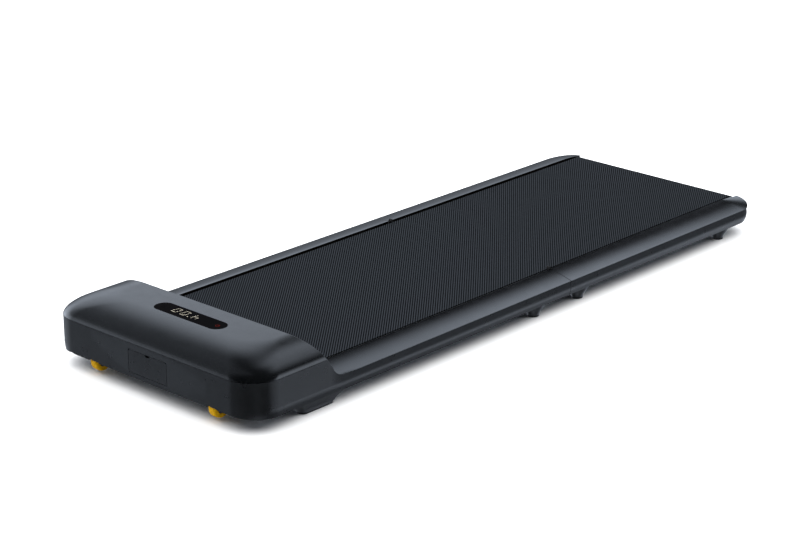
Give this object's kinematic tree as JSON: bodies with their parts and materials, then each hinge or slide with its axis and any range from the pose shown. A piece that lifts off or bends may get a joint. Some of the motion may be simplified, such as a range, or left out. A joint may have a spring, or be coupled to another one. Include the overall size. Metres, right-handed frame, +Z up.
{
  "type": "folding walking pad",
  "caption": "Flat folding walking treadmill: rounded motor head with display, wide walking belt between curved side rails, mid hinge, rubber feet and transport wheels.",
  "frame": {"origin": "on the floor under the centre of the unfolded pad's overall box", "axes": "+X to the right seen from the head's front, +Y along the pad from the head to the tail, +Z up"},
  "size_m": [0.519, 1.445, 0.125],
  "materials": {
    "cover_gloss": "satin gloss moulded plastic",
    "housing_matte": "fine matte moulded plastic",
    "trim_satin": "satin anodised",
    "belt_rubber": "fine ribbed walking surface",
    "frame_steel": "black powder coat",
    "bare_steel": "machined",
    "deck_board": "laminated board",
    "black_rubber": "moulded rubber",
    "wheel_amber": "smooth polyurethane",
    "lens_black": "polished window",
    "black_plastic": "fine moulded grain",
    "motor_metal": "black enamel",
    "winding_metal": "lacquered copper wire",
    "sink_metal": "extruded",
    "circuit_board": "solder mask",
    "lead_cover": "cable jacket",
    "screw_steel": "zinc plated"
  },
  "bodies": {
    "front_section": {"head_top_cover": "cover_gloss", "front_lower_housing": "housing_matte", "front_rail_trims": "trim_satin", "front_side_tubes": "frame_steel", "front_cross_members": "frame_steel", "front_deck_board": "deck_board", "front_deck_cushions": "black_rubber", "walking_belt_front": "belt_rubber", "drive_roller_axle": "bare_steel", "roller_side_plates": "frame_steel", "front_bottom_pan": "frame_steel", "front_pan_screws": "screw_steel", "fold_leaves_front": "frame_steel", "fold_pins": "frame_steel", "head_long_feet": "black_plastic", "front_fold_feet": "black_plastic", "front_foot_pads": "black_rubber", "wheel_axles": "bare_steel", "wheel_forks": "black_plastic", "display_lens": "lens_black", "display_board": "circuit_board", "socket_pocket": "black_plastic", "power_inlet": "black_plastic", "power_switch_body": "black_plastic", "socket_door_pin": "bare_steel", "motor_can": "motor_metal", "motor_stator": "winding_metal", "motor_drive_belt": "black_rubber", "motor_tray": "frame_steel", "motor_saddle": "frame_steel", "control_heat_sink": "sink_metal", "control_board": "circuit_board", "wiring_leads": "lead_cover"},
    "rear_section": {"rear_rail_trims": "trim_satin", "rear_skirts": "housing_matte", "rear_side_tubes": "frame_steel", "rear_cross_members": "frame_steel", "rear_deck_board": "deck_board", "rear_deck_cushions": "black_rubber", "walking_belt_rear": "belt_rubber", "rear_roller_axle": "bare_steel", "rear_axle_brackets": "frame_steel", "belt_tension_screws": "screw_steel", "rear_bottom_pan": "frame_steel", "rear_pan_screws": "screw_steel", "fold_leaves_rear": "frame_steel", "rear_feet": "black_plastic", "rear_foot_pads": "black_rubber"},
    "drive_roller": {"drive_roller_tube": "bare_steel", "drive_roller_bearings": "bare_steel", "drive_roller_pulley": "sink_metal"},
    "rear_roller": {"rear_roller_tube": "bare_steel", "rear_roller_bearings": "bare_steel"},
    "motor_rotor": {"motor_rotor": "bare_steel"},
    "wheel_right": {"transport_wheel_right": "wheel_amber"},
    "wheel_left": {"transport_wheel_left": "wheel_amber"},
    "power_rocker": {"power_rocker": "black_plastic"},
    "socket_door": {"socket_door": "housing_matte"}
  },
  "joints": [
    {"name": "fold_hinge", "type": "hinge", "parent": "front_section", "child": "rear_section", "pos_m": [0, 0.1075, 0.0675], "axis": [1, 0, 0], "range_deg": [0, 180]},
    {"name": "drive_roller_spin", "type": "hinge", "parent": "front_section", "child": "drive_roller", "pos_m": [0, -0.5595, 0.0462], "axis": [1, 0, 0], "continuous": true},
    {"name": "rear_roller_spin", "type": "hinge", "parent": "rear_section", "child": "rear_roller", "pos_m": [0, 0.7047, 0.0462], "axis": [1, 0, 0], "continuous": true},
    {"name": "motor_spin", "type": "hinge", "parent": "front_section", "child": "motor_rotor", "pos_m": [0, -0.6425, 0.078], "axis": [1, 0, 0], "continuous": true},
    {"name": "wheel_right_spin", "type": "hinge", "parent": "front_section", "child": "wheel_right", "pos_m": [0.151, -0.6975, 0.0255], "axis": [1, 0, 0], "continuous": true},
    {"name": "wheel_left_spin", "type": "hinge", "parent": "front_section", "child": "wheel_left", "pos_m": [-0.151, -0.6975, 0.0255], "axis": [1, 0, 0], "continuous": true},
    {"name": "power_rocker_tilt", "type": "hinge", "parent": "front_section", "child": "power_rocker", "pos_m": [0.024, -0.686, 0.06], "axis": [1, 0, 0], "range_deg": [0, 20]},
    {"name": "socket_door_hinge", "type": "hinge", "parent": "front_section", "child": "socket_door", "pos_m": [0, -0.7183, 0.0432], "axis": [1, 0, 0], "range_deg": [0, 90]}
  ],
  "couplings": [
    {"joint": "rear_roller_spin", "follows": "drive_roller_spin", "ratio": 1},
    {"joint": "motor_spin", "follows": "drive_roller_spin", "ratio": 1.9333}
  ]
}
